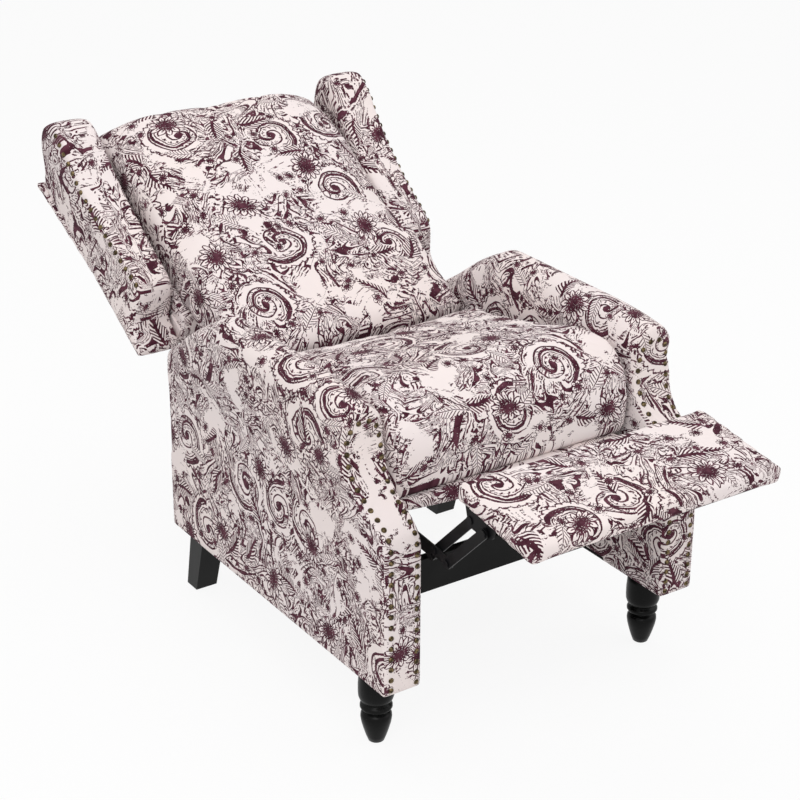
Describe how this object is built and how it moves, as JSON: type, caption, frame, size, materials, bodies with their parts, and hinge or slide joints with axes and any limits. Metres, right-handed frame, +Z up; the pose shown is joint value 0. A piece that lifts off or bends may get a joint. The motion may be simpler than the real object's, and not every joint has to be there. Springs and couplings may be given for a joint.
{
  "type": "wingback recliner",
  "caption": "Push-back recliner with a winged back, rolled arms, turned front legs and a footrest on folding links, shown fully reclined.",
  "frame": {"origin": "on the floor under the middle of the chair as it is drawn, fully reclined", "axes": "+Z up; the front of the chair and its footrest face -Y; +X is the sitter's left"},
  "size_m": [0.711, 1.495, 0.8227],
  "materials": {
    "printed_cover": "matt woven cloth with a printed scroll and flower pattern",
    "elastic_webbing": "woven elastic",
    "black_wood": "satin lacquer",
    "frame_wood": "bare",
    "black_steel": "semi-gloss powder coat",
    "pin_steel": "satin"
  },
  "bodies": {
    "base": {"left_arm_frame": "frame_wood", "right_arm_frame": "frame_wood", "left_arm_cover": "printed_cover", "right_arm_cover": "printed_cover", "left_arm_facing": "printed_cover", "right_arm_facing": "printed_cover", "left_front_leg": "black_wood", "right_front_leg": "black_wood", "left_rear_leg": "black_wood", "right_rear_leg": "black_wood", "leg_plates": "black_steel", "front_stretcher": "black_wood", "rear_stretcher": "black_wood", "left_base_rail": "black_steel", "right_base_rail": "black_steel", "base_pivot_pins": "pin_steel"},
    "front_swing": {"left_front_swing_link": "black_steel", "right_front_swing_link": "black_steel"},
    "rear_swing": {"left_rear_swing_link": "black_steel", "right_rear_swing_link": "black_steel"},
    "seat": {"left_seat_plate": "black_steel", "right_seat_plate": "black_steel", "left_seat_rail": "frame_wood", "right_seat_rail": "frame_wood", "seat_front_rail": "frame_wood", "seat_rear_rail": "frame_wood", "seat_webbing": "elastic_webbing", "seat_front_band": "printed_cover", "seat_cushion": "printed_cover", "seat_pivot_pins": "pin_steel", "footrest_pivot_pins": "pin_steel"},
    "drive": {"left_drive_link": "black_steel", "right_drive_link": "black_steel"},
    "fold": {"left_fold_link": "black_steel", "right_fold_link": "black_steel"},
    "cross": {"left_cross_link": "black_steel", "right_cross_link": "black_steel"},
    "guide": {"left_guide_link": "black_steel", "right_guide_link": "black_steel"},
    "stay": {"left_stay_link": "black_steel", "right_stay_link": "black_steel"},
    "footrest": {"left_foot_bracket": "black_steel", "right_foot_bracket": "black_steel", "footrest_board": "frame_wood", "footrest_pad": "printed_cover"},
    "back": {"left_back_bracket": "black_steel", "right_back_bracket": "black_steel", "back_hinge_pins": "pin_steel", "left_back_post": "frame_wood", "right_back_post": "frame_wood", "back_bottom_rail": "frame_wood", "back_top_rail": "frame_wood", "back_webbing": "elastic_webbing", "back_cushion": "printed_cover", "back_panel": "printed_cover", "left_wing": "printed_cover", "right_wing": "printed_cover"}
  },
  "joints": [
    {"name": "recline", "type": "hinge", "parent": "seat", "child": "back", "pos_m": [0, 0.23191, 0.41], "axis": [1, 0, 0], "range_deg": [0, 45]},
    {"name": "front_swing_pivot", "type": "hinge", "parent": "base", "child": "front_swing", "pos_m": [0, -0.10752, 0.30061], "axis": [1, 0, 0], "range_deg": [0, 36.5]},
    {"name": "seat_pivot", "type": "hinge", "parent": "front_swing", "child": "seat", "pos_m": [0, -0.21309, 0.338], "axis": [1, 0, 0], "range_deg": [-36.5, 0]},
    {"name": "rear_swing_pivot", "type": "hinge", "parent": "base", "child": "rear_swing", "pos_m": [0, 0.11748, 0.28861], "axis": [1, 0, 0], "range_deg": [0, 36.5]},
    {"name": "drive_pivot", "type": "hinge", "parent": "seat", "child": "drive", "pos_m": [0, -0.35009, 0.38], "axis": [1, 0, 0], "range_deg": [0, 82]},
    {"name": "fold_pivot", "type": "hinge", "parent": "seat", "child": "fold", "pos_m": [0, -0.35009, 0.38], "axis": [1, 0, 0], "range_deg": [-26.5, 0]},
    {"name": "cross_pivot", "type": "hinge", "parent": "drive", "child": "cross", "pos_m": [0, -0.45983, 0.37233], "axis": [1, 0, 0], "range_deg": [-108.5, 0]},
    {"name": "guide_pivot", "type": "hinge", "parent": "fold", "child": "guide", "pos_m": [0, -0.36762, 0.39783], "axis": [1, 0, 0], "range_deg": [0, 108.5]},
    {"name": "stay_pivot", "type": "hinge", "parent": "guide", "child": "stay", "pos_m": [0, -0.51925, 0.38723], "axis": [1, 0, 0], "range_deg": [-108.5, 0]},
    {"name": "footrest_pivot", "type": "hinge", "parent": "cross", "child": "footrest", "pos_m": [0, -0.57267, 0.48716], "axis": [1, 0, 0], "range_deg": [0, 108.5]}
  ],
  "couplings": [
    {"joint": "front_swing_pivot", "follows": "recline", "ratio": 0.81111},
    {"joint": "seat_pivot", "follows": "recline", "ratio": -0.81111},
    {"joint": "rear_swing_pivot", "follows": "recline", "ratio": 0.81111},
    {"joint": "drive_pivot", "follows": "recline", "ratio": 1.8222},
    {"joint": "fold_pivot", "follows": "recline", "ratio": -0.58889},
    {"joint": "cross_pivot", "follows": "recline", "ratio": -2.4111},
    {"joint": "guide_pivot", "follows": "recline", "ratio": 2.4111},
    {"joint": "stay_pivot", "follows": "recline", "ratio": -2.4111},
    {"joint": "footrest_pivot", "follows": "recline", "ratio": 2.4111}
  ]
}
